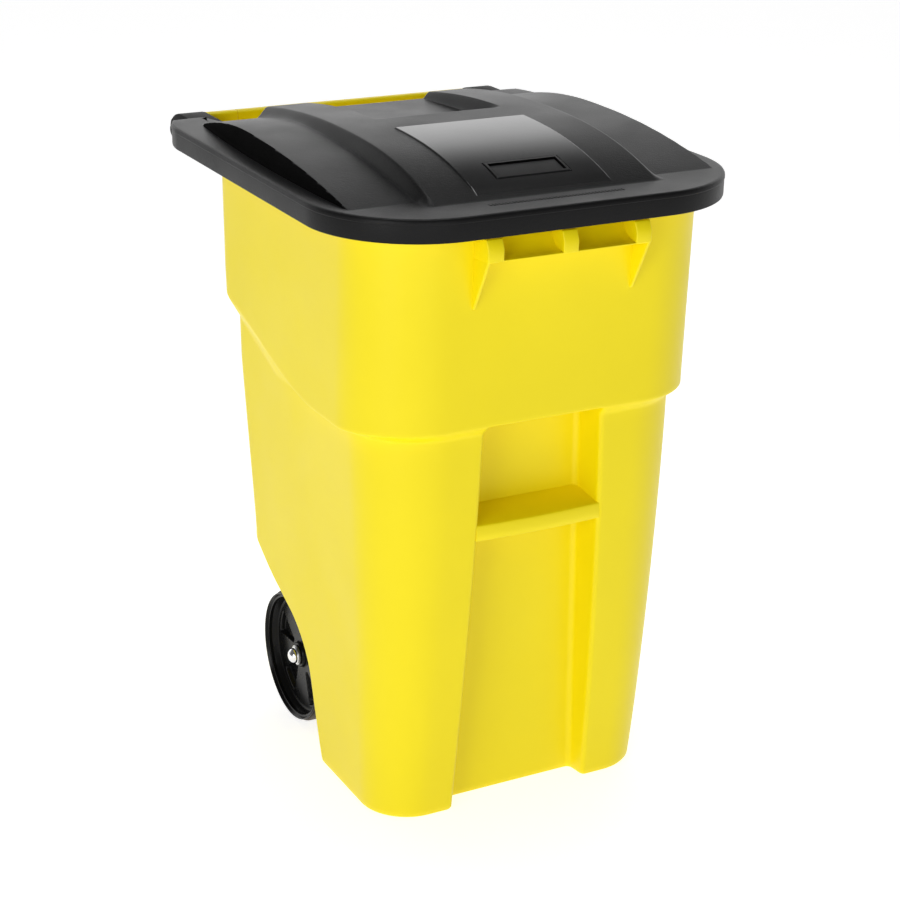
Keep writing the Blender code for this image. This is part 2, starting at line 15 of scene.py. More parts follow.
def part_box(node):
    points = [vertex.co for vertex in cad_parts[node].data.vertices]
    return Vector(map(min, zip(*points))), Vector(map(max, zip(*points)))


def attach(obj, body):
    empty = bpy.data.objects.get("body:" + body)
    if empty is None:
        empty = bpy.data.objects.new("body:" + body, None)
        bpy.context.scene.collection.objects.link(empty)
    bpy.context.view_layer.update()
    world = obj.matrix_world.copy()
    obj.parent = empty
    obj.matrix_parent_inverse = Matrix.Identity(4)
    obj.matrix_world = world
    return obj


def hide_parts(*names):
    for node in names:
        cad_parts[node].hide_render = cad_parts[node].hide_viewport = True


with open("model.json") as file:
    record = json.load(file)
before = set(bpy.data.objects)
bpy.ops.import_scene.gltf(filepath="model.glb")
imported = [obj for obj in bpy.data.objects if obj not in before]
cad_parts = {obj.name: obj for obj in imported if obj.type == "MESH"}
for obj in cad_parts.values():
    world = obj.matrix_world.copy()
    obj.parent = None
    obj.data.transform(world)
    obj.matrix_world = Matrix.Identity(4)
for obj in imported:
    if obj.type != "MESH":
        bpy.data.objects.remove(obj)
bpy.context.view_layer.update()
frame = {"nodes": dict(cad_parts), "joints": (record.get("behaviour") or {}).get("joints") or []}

# ------------------------------------------------------------- sizes read from the frame
LID_LOW, LID_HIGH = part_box("lid")
HINGE = next(j for j in frame["joints"] if j["name"] == "lid_hinge")["pos_m"]
AXLE = next(j for j in frame["joints"] if j["name"] == "wheel_left_spin")["pos_m"]
FRONT_Y = LID_LOW.y
LID_HALF = LID_HIGH.x
HINGE_D, HINGE_Z = HINGE[1] - FRONT_Y, HINGE[2]
AXLE_D, AXLE_Z = AXLE[1] - FRONT_Y, AXLE[2]
TYRE_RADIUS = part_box("tyre_left")[1].z - AXLE_Z
WHEEL_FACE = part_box("wheel_right")[1].x
WHEEL_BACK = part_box("wheel_right")[0].x
GRIP_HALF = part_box("rear_grip")[1].x

# ------------------------------------------------------------- tub
WALL = 0.004
BASE_HALF, NECK_HALF = 0.2136, 0.2375
BASE_FRONT, NECK_FRONT = 0.093, 0.0555
BASE_RADIUS, NECK_RADIUS = 0.070, 0.100
REAR_RADIUS, ARCH_EDGE = 0.042, 0.007
NECK_Z = 0.575
REAR_AT_NECK, REAR_SLOPE = 0.5506, 0.0843
COLLAR_HALF, COLLAR_RADIUS = 0.2565, 0.106
COLLAR_FRONT, COLLAR_FRONT_SLOPE, COLLAR_FRONT_Z = 0.047, -0.0375, 0.588
COLLAR_REAR, COLLAR_REAR_SLOPE = 0.5545, 0.030
RIM_TOP, RIM_REACH, RIM_DROP = 0.877, 0.029, 0.019
CHANNEL_HALF_BASE, CHANNEL_HALF_NECK = 0.1056, 0.0877
CHANNEL_FLOOR_BASE, CHANNEL_FLOOR_NECK = 0.1240, 0.1080
CHANNEL_DRAFT, CHANNEL_EDGE, CHANNEL_ROOT = 0.004, 0.007, 0.009
CHANNEL_END = 0.009  # how far past its side wall the channel's points run along the leg's front
ARCH_RADIUS, FOOT_REAR = 0.128, 0.299
KNEE_Z, KNEE_RADIUS, WALL_LOW_Z = 0.29, 0.020, 0.36
STEP_FILLET, STEP_EDGE, STEP_TUCK = 0.0030, 0.0028, 0.004
LEDGE_LIP, LEDGE_WALL, LEDGE_HALF = 0.0018, 0.0396, 0.1165
BLOCKS = ((-0.1185, -0.0955), (-0.0110, 0.0110), (0.0955, 0.1185))
WEB_IN, WEB_OUT = 0.1138, 0.1183
BAR_FRONT, BAR_BOW, BAR_STATIONS = 0.0600, 0.003, 24

# ------------------------------------------------------------- lid
FLANGE_Z, LID_WALL = 0.883, 0.0035
LID_RADIUS, LID_EDGE = 0.150, 0.005
BEND_D, BEND_RADIUS = 0.590, 0.120
REAR_D, CORNER_D, NOTCH_X = 0.608, 0.646, 0.224
DOME_BASE, DOME_REAR = 0.272, 0.596
OUTER_PEAK, OUTER_PEAK_D, OUTER_FRONT, OUTER_FALL = 0.9125, 0.405, 0.088, 0.200
INNER_PEAK, INNER_PEAK_D, INNER_FRONT, INNER_FALL = 0.9250, 0.350, 0.060, 0.334
BAND_HALF, PANEL_HALF, RECESS_HALF = 0.166, 0.098, 0.095
PANEL_FRONT, PANEL_REAR, PANEL_RAISE, BAND_CROWN = 0.07, 0.303, 0.0016, 0.0003
RECESS_D, RECESS_FLOOR, RECESS_SLOPE = 0.380, 0.9055, 0.055
PLATE_HALF, PLATE_D0, PLATE_D1 = 0.054, 0.099, 0.138
PLATE_GAP, PLATE_POCKET = 0.0012, 0.0016
KNUCKLE_IN, KNUCKLE_OUT = 0.2168, 0.2573
RIB_COUNT, RIB_PITCH, RIB_D, RIB_LENGTH = 41, 0.0048, 0.0360, 0.0075

# ------------------------------------------------------------- wheels
DISH_DEPTH, SPOKES, POCKET_DEPTH = 0.019, 5, 0.0070

# ------------------------------------------------------------- light and camera
ROOM_LEVEL, WALL_LEVEL = 0.14, 1.60
CAMERA_TURN, CAMERA_LENS = (-28.01, 21.29, 0.93), 84.33  # azimuth, elevation and roll in degrees
CAMERA_X, CAMERA_D, CAMERA_Z = -1.3231, -2.1717, 1.5439


def at(depth):
    """Row-frame Y of a depth."""
    return FRONT_Y + depth


def ease(value, low, high):
    """0 below low, 1 above high and eased between, for numbers and arrays."""
    t = np.clip((np.asarray(value, float) - low) / (high - low), 0.0, 1.0)
    return t * t * (3 - 2 * t)


def spaced(*spans):
    """Sorted stations from spans of (start, end, step)."""
    values = [v for a, b, step in spans for v in np.linspace(a, b, max(2, round((b - a) / step) + 1))]
    kept = []
    for v in sorted(values):
        if not kept or v - kept[-1] > 1e-5:
            kept.append(float(v))
    return kept


# ------------------------------------------------------------- mesh helpers
def finish_mesh(name, points, faces, look, body, stands_for=(), angle=38.0):
    """An object from points and faces that rides on a body, takes a finish and hides the CAD parts it stands
    for.
    """
    mesh = bpy.data.meshes.new(name)
    mesh.from_pydata([tuple(p) for p in points], [], faces)
    made = bpy.data.objects.new(name, mesh)
    bpy.context.scene.collection.objects.link(made)
    return dress(made, look, body, stands_for, angle)


def dress(made, look, body, stands_for=(), angle=38.0):
    """Normals out, smooth shading, material and body of a piece; hides the CAD parts it stands for."""
    bm = bmesh.new()
    bm.from_mesh(made.data)
    bmesh.ops.recalc_face_normals(bm, faces=bm.faces)
    bm.to_mesh(made.data)
    bm.free()
    made.data.shade_smooth()
    made.data.set_sharp_from_angle(angle=math.radians(angle))
    if look is not None:
        made.data.materials.append(look)
    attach(made, body)
    if stands_for:
        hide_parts(*stands_for)
    return made


def loop_faces(loops):
    """Quads between equal closed loops of points, with a cap at each end."""
    count = len(loops[0])
    faces = []
    for k in range(len(loops) - 1):
        low, high = k * count, (k + 1) * count
        faces += [(low + i, low + (i + 1) % count, high + (i + 1) % count, high + i) for i in range(count)]
    last = (len(loops) - 1) * count
    return faces + [tuple(range(count))[::-1], tuple(range(last, last + count))]


def arc(centre, radius, start, end, steps):
    """Points on an arc, angles in degrees."""
    turns = [math.radians(start + (end - start) * i / steps) for i in range(steps + 1)]
    return [(centre[0] + radius * math.cos(a), centre[1] + radius * math.sin(a)) for a in turns]


def rounded_path(corners, radii, arc_steps, line_steps):
    """An open path with rounded corners: every corner and straight gets a fixed number of points."""
    corners = [Vector(c) for c in corners]
    points, start = [], corners[0]
    for i in range(1, len(corners)):
        if i == len(corners) - 1:
            end, bend = corners[i], []
        else:
            a = (corners[i - 1] - corners[i]).normalized()
            b = (corners[i + 1] - corners[i]).normalized()
            half = a.angle(b) / 2
            reach = radii[i - 1] / math.tan(half)
            centre = corners[i] + (a + b).normalized() * (radii[i - 1] / math.sin(half))
            end = corners[i] + a * reach
            v0, v1 = end - centre, corners[i] + b * reach - centre
            turn = v0.angle_signed(v1)
            steps = arc_steps[i - 1]
            bend = []
            for k in range(1, steps + 1):
                v = v0.copy()
                v.rotate(Matrix.Rotation(-turn * k / steps, 2))
                bend.append(centre + v)
        steps = line_steps[i - 1]
        points += [start.lerp(end, k / steps) for k in range(steps)]
        if bend:
            points.append(end)
            points += bend[:-1]
            start = bend[-1]
        else:
            points.append(end)
    return [(p.x, p.y) for p in points]


def rounded_block(bm, outline, x0, x1, bevel, segments=3):
    """Adds a prism along X with rounded edges. The outline's points are (depth, height)."""
    rings = [[bm.verts.new((x, at(d), z)) for d, z in outline] for x in (x0, x1)]
    count = len(outline)
    faces = [bm.faces.new(rings[0][::-1]), bm.faces.new(rings[1])]
    for i in range(count):
        j = (i + 1) % count
        faces.append(bm.faces.new((rings[0][i], rings[0][j], rings[1][j], rings[1][i])))
    bmesh.ops.recalc_face_normals(bm, faces=faces)
    edges = dict.fromkeys(e for f in faces for e in f.edges)
    sharp = [e for e in edges if len(e.link_faces) == 2 and e.calc_face_angle() > math.radians(28)]
    bmesh.ops.bevel(bm, geom=sharp, offset=bevel, segments=segments, profile=0.5, affect="EDGES",
                    clamp_overlap=True)


def revolve(profile, steps, d, z, wave=None):
    """Points and faces of a solid turned about an X axis; wave(index, r, turn) may move a point along X."""
    points = []
    for k in range(steps):
        a = 2 * math.pi * k / steps
        for i, (x, r) in enumerate(profile):
            shift = wave(i, r, a) if wave else 0.0
            points.append((x + shift, at(d) + r * math.cos(a), z + r * math.sin(a)))
    count = len(profile)
    faces = []
    for k in range(steps):
        here, there = k * count, (k + 1) % steps * count
        for i in range(count):
            j = (i + 1) % count
            faces.append((here + i, here + j, there + j, there + i))
    return points, faces


# ------------------------------------------------------------- materials
def nodes_of(name):
    """A new material with its nodes, links and shader."""
    made = bpy.data.materials.new(name)
    made.use_nodes = True
    tree = made.node_tree
    return made, tree.nodes, tree.links, tree.nodes["Principled BSDF"]


def grain(nodes, links, scale, detail, distance, strength, normal=None):
    """A bump from fine noise in object space, optionally stacked on another bump."""
    where = nodes.new("ShaderNodeTexCoord")
    noise = nodes.new("ShaderNodeTexNoise")
    noise.inputs["Scale"].default_value = scale
    noise.inputs["Detail"].default_value = detail
    bump = nodes.new("ShaderNodeBump")
    bump.inputs["Distance"].default_value = distance
    bump.inputs["Strength"].default_value = strength
    links.new(where.outputs["Object"], noise.inputs["Vector"])
    links.new(noise.outputs["Fac"], bump.inputs["Height"])
    if normal is not None:
        links.new(normal, bump.inputs["Normal"])
    return bump.outputs["Normal"]


def blotches(nodes, links, scale, low, high, target):
    """Slow variation between two values, fed to a socket."""
    where = nodes.new("ShaderNodeTexCoord")
    noise = nodes.new("ShaderNodeTexNoise")
    noise.inputs["Scale"].default_value = scale
    noise.inputs["Detail"].default_value = 3.0
    spread = nodes.new("ShaderNodeMapRange")
    spread.inputs["From Min"].default_value = 0.3
    spread.inputs["From Max"].default_value = 0.7
    spread.inputs["To Min"].default_value = low
    spread.inputs["To Max"].default_value = high
    links.new(where.outputs["Object"], noise.inputs["Vector"])
    links.new(noise.outputs["Fac"], spread.inputs["Value"])
    links.new(spread.outputs["Result"], target)


def tinted(nodes, links, scale, first, second, target):
    """Slow colour variation between two close colours."""
    where = nodes.new("ShaderNodeTexCoord")
    noise = nodes.new("ShaderNodeTexNoise")
    noise.inputs["Scale"].default_value = scale
    noise.inputs["Detail"].default_value = 4.0
    ramp = nodes.new("ShaderNodeValToRGB")
    ramp.color_ramp.elements[0].position = 0.35
    ramp.color_ramp.elements[0].color = (*first, 1.0)
    ramp.color_ramp.elements[1].position = 0.65
    ramp.color_ramp.elements[1].color = (*second, 1.0)
    links.new(where.outputs["Object"], noise.inputs["Vector"])
    links.new(noise.outputs["Fac"], ramp.inputs["Fac"])
    links.new(ramp.outputs["Color"], target)


def moulded_plastic(name, colours, rough, grain_scale, grain_depth, specular=0.5):
    """Moulded polyethylene: close colour variation, a fine texture and a slight long-wave unevenness."""
    made, nodes, links, shader = nodes_of(name)
    tinted(nodes, links, 6.0, *colours, shader.inputs["Base Color"])
    blotches(nodes, links, 9.0, *rough, shader.inputs["Roughness"])
    wave = grain(nodes, links, 7.0, 1.0, 0.0008, 0.35)
    links.new(grain(nodes, links, grain_scale, 2.0, grain_depth, 0.5, wave), shader.inputs["Normal"])
    shader.inputs["Specular IOR Level"].default_value = specular
    return made


def metal(name, colour, rough, brushed=0.0):
    """Plated steel: a nearly even colour, uneven roughness and an optional fine brushed bump."""
    made, nodes, links, shader = nodes_of(name)
    shader.inputs["Metallic"].default_value = 1.0
    tinted(nodes, links, 40.0, colour, tuple(c * 0.93 for c in colour), shader.inputs["Base Color"])
    blotches(nodes, links, 60.0, *rough, shader.inputs["Roughness"])
    if brushed:
        links.new(grain(nodes, links, 900.0, 2.0, 0.0001, brushed), shader.inputs["Normal"])
    return made


def rubber(name):
    """Dusty solid rubber."""
    made, nodes, links, shader = nodes_of(name)
    tinted(nodes, links, 25.0, (0.060, 0.050, 0.042), (0.095, 0.080, 0.066), shader.inputs["Base Color"])
    blotches(nodes, links, 30.0, 0.75, 0.92, shader.inputs["Roughness"])
    links.new(grain(nodes, links, 700.0, 4.0, 0.0004, 0.6), shader.inputs["Normal"])
    return made


def make_looks():
    """All materials. A plastic has two close colours, a range of roughness, its grain and its gloss. Two of
    the blacks are darker, less glossy copies of the lid black that paint shade.
    """
    black = (0.0050, 0.0050, 0.0052), (0.0065, 0.0065, 0.0067)
    # painted shade: a darker, almost unreflective copy of the lid black, for the steep dome ends and the
    # nameplate's gaps
    painted_shade_black = (0.0012, 0.0012, 0.0012), (0.0016, 0.0016, 0.0016)
    # painted shade: the knuckles are the same lid plastic, given a darker, almost unreflective black
    black_knuckle = (0.0018, 0.0018, 0.0019), (0.0024, 0.0024, 0.0025)
    black_wheel = (0.003, 0.003, 0.003), (0.004, 0.004, 0.004)
    yellow = (0.870, 0.712, 0.0008), (0.890, 0.730, 0.0015)
    natural = (0.74, 0.73, 0.69), (0.70, 0.69, 0.65)
    return {
        "yellow": moulded_plastic("yellow_shell", yellow, (0.36, 0.44), 650.0, 0.00012, 0.28),
        "black": moulded_plastic("black_shell", black, (0.34, 0.42), 480.0, 0.00070, 0.13),
        "panel": moulded_plastic("black_panel", black, (0.15, 0.20), 900.0, 0.00004, 0.62),
        # painted shade: the lid black made darker and matt, standing in for shade on steep faces and in gaps
        "groove": moulded_plastic("painted_shade_black", painted_shade_black, (0.60, 0.70), 480.0, 0.00050, 0.01),
        # painted shade: a darker, almost unreflective copy of the lid black for the hinge knuckles
        "knuckle": moulded_plastic("black_knuckle", black_knuckle, (0.40, 0.50), 480.0, 0.0002, 0.03),
        "wheel": moulded_plastic("black_wheel", black_wheel, (0.20, 0.30), 900.0, 0.00005, 0.14),
        "plate": moulded_plastic("black_plate", black, (0.26, 0.34), 700.0, 0.00008, 0.40),
        "nylon": moulded_plastic("nylon_natural", natural, (0.42, 0.52), 800.0, 0.00006),
        "steel": metal("steel_zinc", (0.62, 0.62, 0.61), (0.28, 0.40), 0.25),
        "chrome": metal("chrome_bright", (0.86, 0.86, 0.87), (0.05, 0.09)),
        "rubber": rubber("tyre_tread"),
    }


# ------------------------------------------------------------- tub shell
# points along each straight and round each corner of a section: its channel, then its legs, sides and rear
CHANNEL_COUNTS = ((12, 5, 2), (8, 8))
REST_COUNTS = ((8, 44, 12), (24, 12))


def half_outline(channel, front, half, rear, front_radius, rear_radius):
    """Right half of a section: the channel's points, the leg front, both corners, the side and the rear."""
    corners = [(channel[-1][0], front), (half, front), (half, rear), (0.0, rear)]
    rest = rounded_path(corners, (front_radius, rear_radius), REST_COUNTS[1], REST_COUNTS[0])
    return channel[:-1] + rest


def whole(right):
    """Both halves of an outline from its right half."""
    return right + [(-x, d) for x, d in reversed(right[1:-1])]


def lower_section(z, rear, inset=0.0, shrink=0.0):
    """Outline of the lower body with its channel at height z; shrink pulls the whole outline in."""
    t = min(max(z, 0.0) / NECK_Z, 1.0)
    half = BASE_HALF + (NECK_HALF - BASE_HALF) * t ** 0.8 - inset - shrink
    front = NECK_FRONT + (BASE_FRONT - NECK_FRONT) * (1 - t) ** 1.6 + inset + shrink
    radius = BASE_RADIUS + (NECK_RADIUS - BASE_RADIUS) * t - inset
    side = CHANNEL_HALF_BASE + (CHANNEL_HALF_NECK - CHANNEL_HALF_BASE) * t + inset + shrink
    floor = CHANNEL_FLOOR_BASE + (CHANNEL_FLOOR_NECK - CHANNEL_FLOOR_BASE) * t + inset + shrink
    edge, root = CHANNEL_EDGE - inset, CHANNEL_ROOT + inset
    corners = [(0.0, floor), (side - CHANNEL_DRAFT, floor), (side, front), (side + CHANNEL_END, front)]
    channel = rounded_path(corners, (root, edge), CHANNEL_COUNTS[1], CHANNEL_COUNTS[0])
    soft = ARCH_EDGE + (REAR_RADIUS - ARCH_EDGE) * float(ease(z, 0.235, 0.300))
    return whole(half_outline(channel, front, half, rear - shrink, radius, max(0.003, soft - inset)))


def collar_section(z, grow=0.0):
    """Outline of the collar at height z, moved out by grow. Its front keeps the channel's stations."""
    side = CHANNEL_HALF_NECK + WALL * float(grow < 0)
    front = COLLAR_FRONT + COLLAR_FRONT_SLOPE * (z - COLLAR_FRONT_Z) - grow
    rear = COLLAR_REAR + COLLAR_REAR_SLOPE * (z - NECK_Z) + grow
    corners = [(0.0, 0.1), (side - CHANNEL_DRAFT, 0.1), (side, 0.05), (side + CHANNEL_END, 0.05)]
    stations = rounded_path(corners, (CHANNEL_ROOT, CHANNEL_EDGE), CHANNEL_COUNTS[1], CHANNEL_COUNTS[0])
    channel = [(x, front) for x, _ in stations]
    corner, rear_corner = COLLAR_RADIUS + grow, REAR_RADIUS + 0.004 + grow
    return whole(half_outline(channel, front, COLLAR_HALF + grow, rear, corner, rear_corner))


def wall_depth(z):
    """Depth of the rear wall at height z."""
    return REAR_AT_NECK + REAR_SLOPE * (z - NECK_Z)


def rear_line(grow):
    """Side view of the tub's rear as (height, depth): foot, wheel arch, slope, knee and wall."""
    curve = [(z, d) for d, z in arc((AXLE_D, AXLE_Z), ARCH_RADIUS + grow, 164, 116, 12)]
    slope = Vector((0.25, 0.12)).normalized()
    start = Vector((curve[-1][1], curve[-1][0]))
    wall_d = wall_depth(KNEE_Z) - grow
    knee = start + slope * ((wall_d - start.x) / slope.x)
    top = (wall_depth(WALL_LOW_Z) - grow, WALL_LOW_Z)
    bend = rounded_path([start, knee, top], (KNEE_RADIUS,), (7,), (9, 3))
    foot_d = FOOT_REAR - grow
    first = curve[0]
    foot = [(z, foot_d + (first[1] - foot_d) * z / first[0]) for z in spaced((0.012, first[0] - 0.01, 0.020))]
    return foot + curve + [(z, d) for d, z in bend[1:]]


def step_outer(d):
    """Height of the collar's lower edge at a depth: level in front, climbing along the side."""
    return 0.586 - 0.0075 * ease(d, 0.05, 0.16) + 0.0835 * ease(d, 0.225, 0.590) ** 0.9


def step_inner(d):
    """Height at which the lower body meets the step."""
    rise = np.maximum(0.0, np.asarray(d, float) - 0.385)
    return np.minimum(np.minimum(step_outer(d) - 0.004, 0.5745 + 0.36 * rise), 0.630)


def step_rings(inset):
    """Rings from the lower body out to the collar: a fillet, a ledge and a rounded edge."""
    rear = REAR_AT_NECK - inset
    lower = np.array(lower_section(NECK_Z, rear, inset))
    collar = np.array(collar_section(0.600, -inset))
    reach = np.maximum(np.hypot(*(collar - lower).T), 0.0004)
    d = collar[:, 1] + inset
    base, edge = step_inner(d) + inset, step_outer(d) + inset
    edge_radius = STEP_EDGE + inset
    rings = []
    for turn in (-200, -150, -90, -60, -30, 0):
        a = math.radians(max(turn, -90))
        run = np.minimum(STEP_FILLET, 0.4 * reach) * (1 + math.sin(a)) / reach
        drop = STEP_FILLET * (1 - math.cos(a)) + STEP_TUCK * max(0.0, (-90 - turn) / 60)
        rings.append((run, -drop))
    rings.append((np.full_like(reach, 0.5), 0.0))
    for turn in (0, 22, 45, 67, 90, 150):
        a = math.radians(min(turn, 90))
        run = 1 - np.minimum(edge_radius, 0.4 * reach) * (1 - math.sin(a)) / reach
        rings.append((run, edge_radius * (1 - math.cos(a)) + STEP_TUCK * max(0.0, (turn - 90) / 60)))
    made = []
    for share, lift in rings:
        flat = lower * (1 - share)[:, None] + collar * share[:, None]
        height = base * (1 - share) + edge * share + lift
        made.append(np.column_stack([flat[:, 0], flat[:, 1] + FRONT_Y, height]))
    return made


def tub_wall(inset, floor):
    """All rings of one face of the wall, from the floor up to just under the rim."""
    rings = []
    foot = FOOT_REAR - inset
    for z, shrink in ((0.0, 0.0060), (0.0006, 0.0036), (0.0022, 0.0014), (0.0052, 0.0)):
        rings.append([(x, at(d), floor + z) for x, d in lower_section(floor + z, foot, inset, shrink)])
    for z, d_rear in rear_line(inset):
        if z > floor + 0.008:
            rings.append([(x, at(d), z) for x, d in lower_section(z, d_rear, inset)])
    for z in spaced((0.380, 0.556, 0.022)):
        rings.append([(x, at(d), z) for x, d in lower_section(z, wall_depth(z) - inset, inset)])
    rings += step_rings(inset)
    for z in spaced((0.695, 0.855, 0.020)):
        rings.append([(x, at(d), z) for x, d in collar_section(z, -inset)])
    return rings


def rim_rings():
    """The rolled rim: out under the lid, round the turned-down lip, and back over the top to the inside."""
    r, top, low = RIM_REACH, RIM_TOP, RIM_TOP - RIM_DROP
    path = [(0.0, 0.866), (0.0006, 0.8700), (0.0025, 0.8722), (0.006, 0.873), (r - 0.0065, 0.873)]
    path += [(r - 0.0046, 0.8722), (r - 0.0040, 0.870), (r - 0.0040, low + 0.0008), (r - 0.0034, low)]
    path += [(r - 0.0006, low), (r, low + 0.0008)]
    path += [(r, top - 0.004), (r - 0.0007, top - 0.0015), (r - 0.0022, top - 0.0003), (r - 0.005, top)]
    path += [(0.004, top), (0.0, top - 0.0004), (-0.0028, top - 0.0022), (-WALL, top - 0.006)]
    return [[(x, at(d), z) for x, d in collar_section(RIM_TOP, grow)] for grow, z in path]


def add_ledge(bm):
    """Catch ledge: concave shelf with a thin lip, three blocks above it and a tapering web at each end."""
    lip, wall = LEDGE_LIP, LEDGE_WALL
    shares = (0.0, 0.15, 0.3, 0.45, 0.6, 0.75, 0.88, 1.0)
    curve = [(lip + (wall - lip) * t, 0.8222 + 0.0036 * t + 0.0230 * t ** 3) for t in shares]
    shelf = [(lip, 0.8206), *curve, (wall, 0.8120)]
    rounded_block(bm, shelf, -LEDGE_HALF, LEDGE_HALF, 0.0006, 2)
    block = [(0.0012, 0.8203), (0.0008, 0.8362), (0.0070, 0.8492), (wall, 0.8500), (wall, 0.8180)]
    for x0, x1 in BLOCKS:
        rounded_block(bm, block, x0, x1, 0.0016, 3)
    web = [(0.0016, 0.8225), (wall, 0.8300), (wall + 0.0030, 0.7495), (0.0385, 0.7520)]
    for side in (-1, 1):
        rounded_block(bm, web, *sorted((side * WEB_IN, side * WEB_OUT)), 0.0009, 2)


def add_lift_bar(bm):
    """Lower lift bar: a shelf across the channel with a turned-down front face, bowed a little forward."""
    rings = []
    for i in range(BAR_STATIONS + 1):
        s = -1 + 2 * i / BAR_STATIONS
        front = BAR_FRONT - BAR_BOW * (1 - s * s)
        profile = [(front, 0.4222), (front - 0.0002, 0.4300), (front, 0.4420), (front + 0.0006, 0.4434)]
        profile += [(front + 0.0022, 0.4443), (0.085, 0.4490), (0.1150, 0.4545), (0.1150, 0.4500)]
        profile += [(front + 0.0065, 0.4400), (front + 0.0043, 0.4380), (front + 0.0038, 0.4222)]
        profile += [(front + 0.0032, 0.4214), (front + 0.0010, 0.4213)]
        rings.append([bm.verts.new((s * (CHANNEL_HALF_NECK + 0.0068), at(d), z)) for d, z in profile])
    count = len(rings[0])
    bm.faces.new(rings[0][::-1])
    bm.faces.new(rings[-1])
    for a, b in zip(rings, rings[1:]):
        for i in range(count):
            j = (i + 1) % count
            bm.faces.new((a[i], a[j], b[j], b[i]))


def grip_profile():
    """Side view of the rear grip: upright front face, top falling away to a rounded back."""
    corners = [(0.700, 0.8362), (0.6862, 0.8362), (0.6862, 0.8792), (0.7020, 0.8780), (0.7250, 0.8600)]
    corners += [(0.7205, 0.8362), (0.700, 0.8362)]
    radii = (0.005, 0.0045, 0.010, 0.011, 0.009)
    return rounded_path(corners, radii, (5, 5, 5, 7, 7), (2, 3, 2, 2, 2, 2))[:-1]


def add_grip_arms(bm):
    """Arms from the rear wall back to the grip, each ending in the grip's own section."""
    arm = [(0.5580, 0.8400), (0.5620, 0.8600), (0.5900, 0.8680), (0.6400, 0.8680), (0.6900, 0.8630)]
    arm += [(0.6900, 0.8420), (0.6500, 0.8340), (0.6100, 0.8160), (0.5780, 0.7850), (0.5580, 0.7500)]
    for side in (-1, 1):
        end = sorted((side * (GRIP_HALF + 0.0004), side * 0.2155))
        rounded_block(bm, grip_profile(), *end, 0.0010, 2)
        rounded_block(bm, arm, *sorted((side * 0.1710, side * 0.2095)), 0.0030, 3)


def add_brackets(bm):
    """Axle brackets: an eye round the axle, widening up to the slope over the wheels."""
    eye = arc((AXLE_D, AXLE_Z), 0.026, 195, 375, 20)
    outline = [(0.353, 0.196), *eye, (0.478, 0.262), (0.420, 0.2345)]
    for side in (-1, 1):
        rounded_block(bm, outline, *sorted((side * 0.1120, side * 0.1280)), 0.0020, 3)


def make_tub(look):
    """The tub: outer wall, rim and inner wall in one skin, with its ledge, lift bar, arms and brackets."""
    rings = tub_wall(0.0, 0.0) + rim_rings() + tub_wall(WALL, WALL + 0.001)[::-1]
    points = [p for ring in rings for p in ring]
    tub = bpy.data.meshes.new("tub_shell")
    tub.from_pydata([tuple(p) for p in points], [], loop_faces(rings))
    bm = bmesh.new()
    bm.from_mesh(tub)
    add_ledge(bm)
    add_lift_bar(bm)
    add_grip_arms(bm)
    add_brackets(bm)
    bm.to_mesh(tub)
    bm.free()
    made = bpy.data.objects.new("tub_shell", tub)
    bpy.context.scene.collection.objects.link(made)
    return dress(made, look, "bin", ["tub"], 58.0)


def make_grip(look):
    """The separate bar of the rear grip."""
    bm = bmesh.new()
    rounded_block(bm, grip_profile(), -GRIP_HALF, GRIP_HALF, 0.0010, 2)
    mesh = bpy.data.meshes.new("grip_bar")
    bm.to_mesh(mesh)
    bm.free()
    made = bpy.data.objects.new("grip_bar", mesh)
    bpy.context.scene.collection.objects.link(made)
    return dress(made, look, "bin", ["rear_grip"])


# ------------------------------------------------------------- lid shell
def lid_reach(d):
    """Half width of the lid's inner outline (the flat flange, inside its rounded edge) at a depth."""
    radius = LID_RADIUS - LID_EDGE
    if d < LID_RADIUS:
        return LID_HALF - LID_RADIUS + math.sqrt(max(0.0, radius ** 2 - (LID_RADIUS - d) ** 2))
    if d <= BEND_D:
        return LID_HALF - LID_EDGE
    bend = BEND_RADIUS - LID_EDGE
    return LID_HALF - BEND_RADIUS + math.sqrt(bend ** 2 - min(d - BEND_D, bend * 0.5) ** 2)


def dome_base(d):
    """Half width of the dome's foot, widest a little in front of the middle."""
    return min(DOME_BASE - 0.155 * (d - 0.27) ** 2, lid_reach(d) - 0.010)


def soft_min(a, b, blend):
    """The lower of two surfaces with a rounded edge between them."""
    mix = np.clip(0.5 + 0.5 * (b - a) / blend, 0.0, 1.0)
    return b * (1 - mix) + a * mix - blend * mix * (1 - mix)


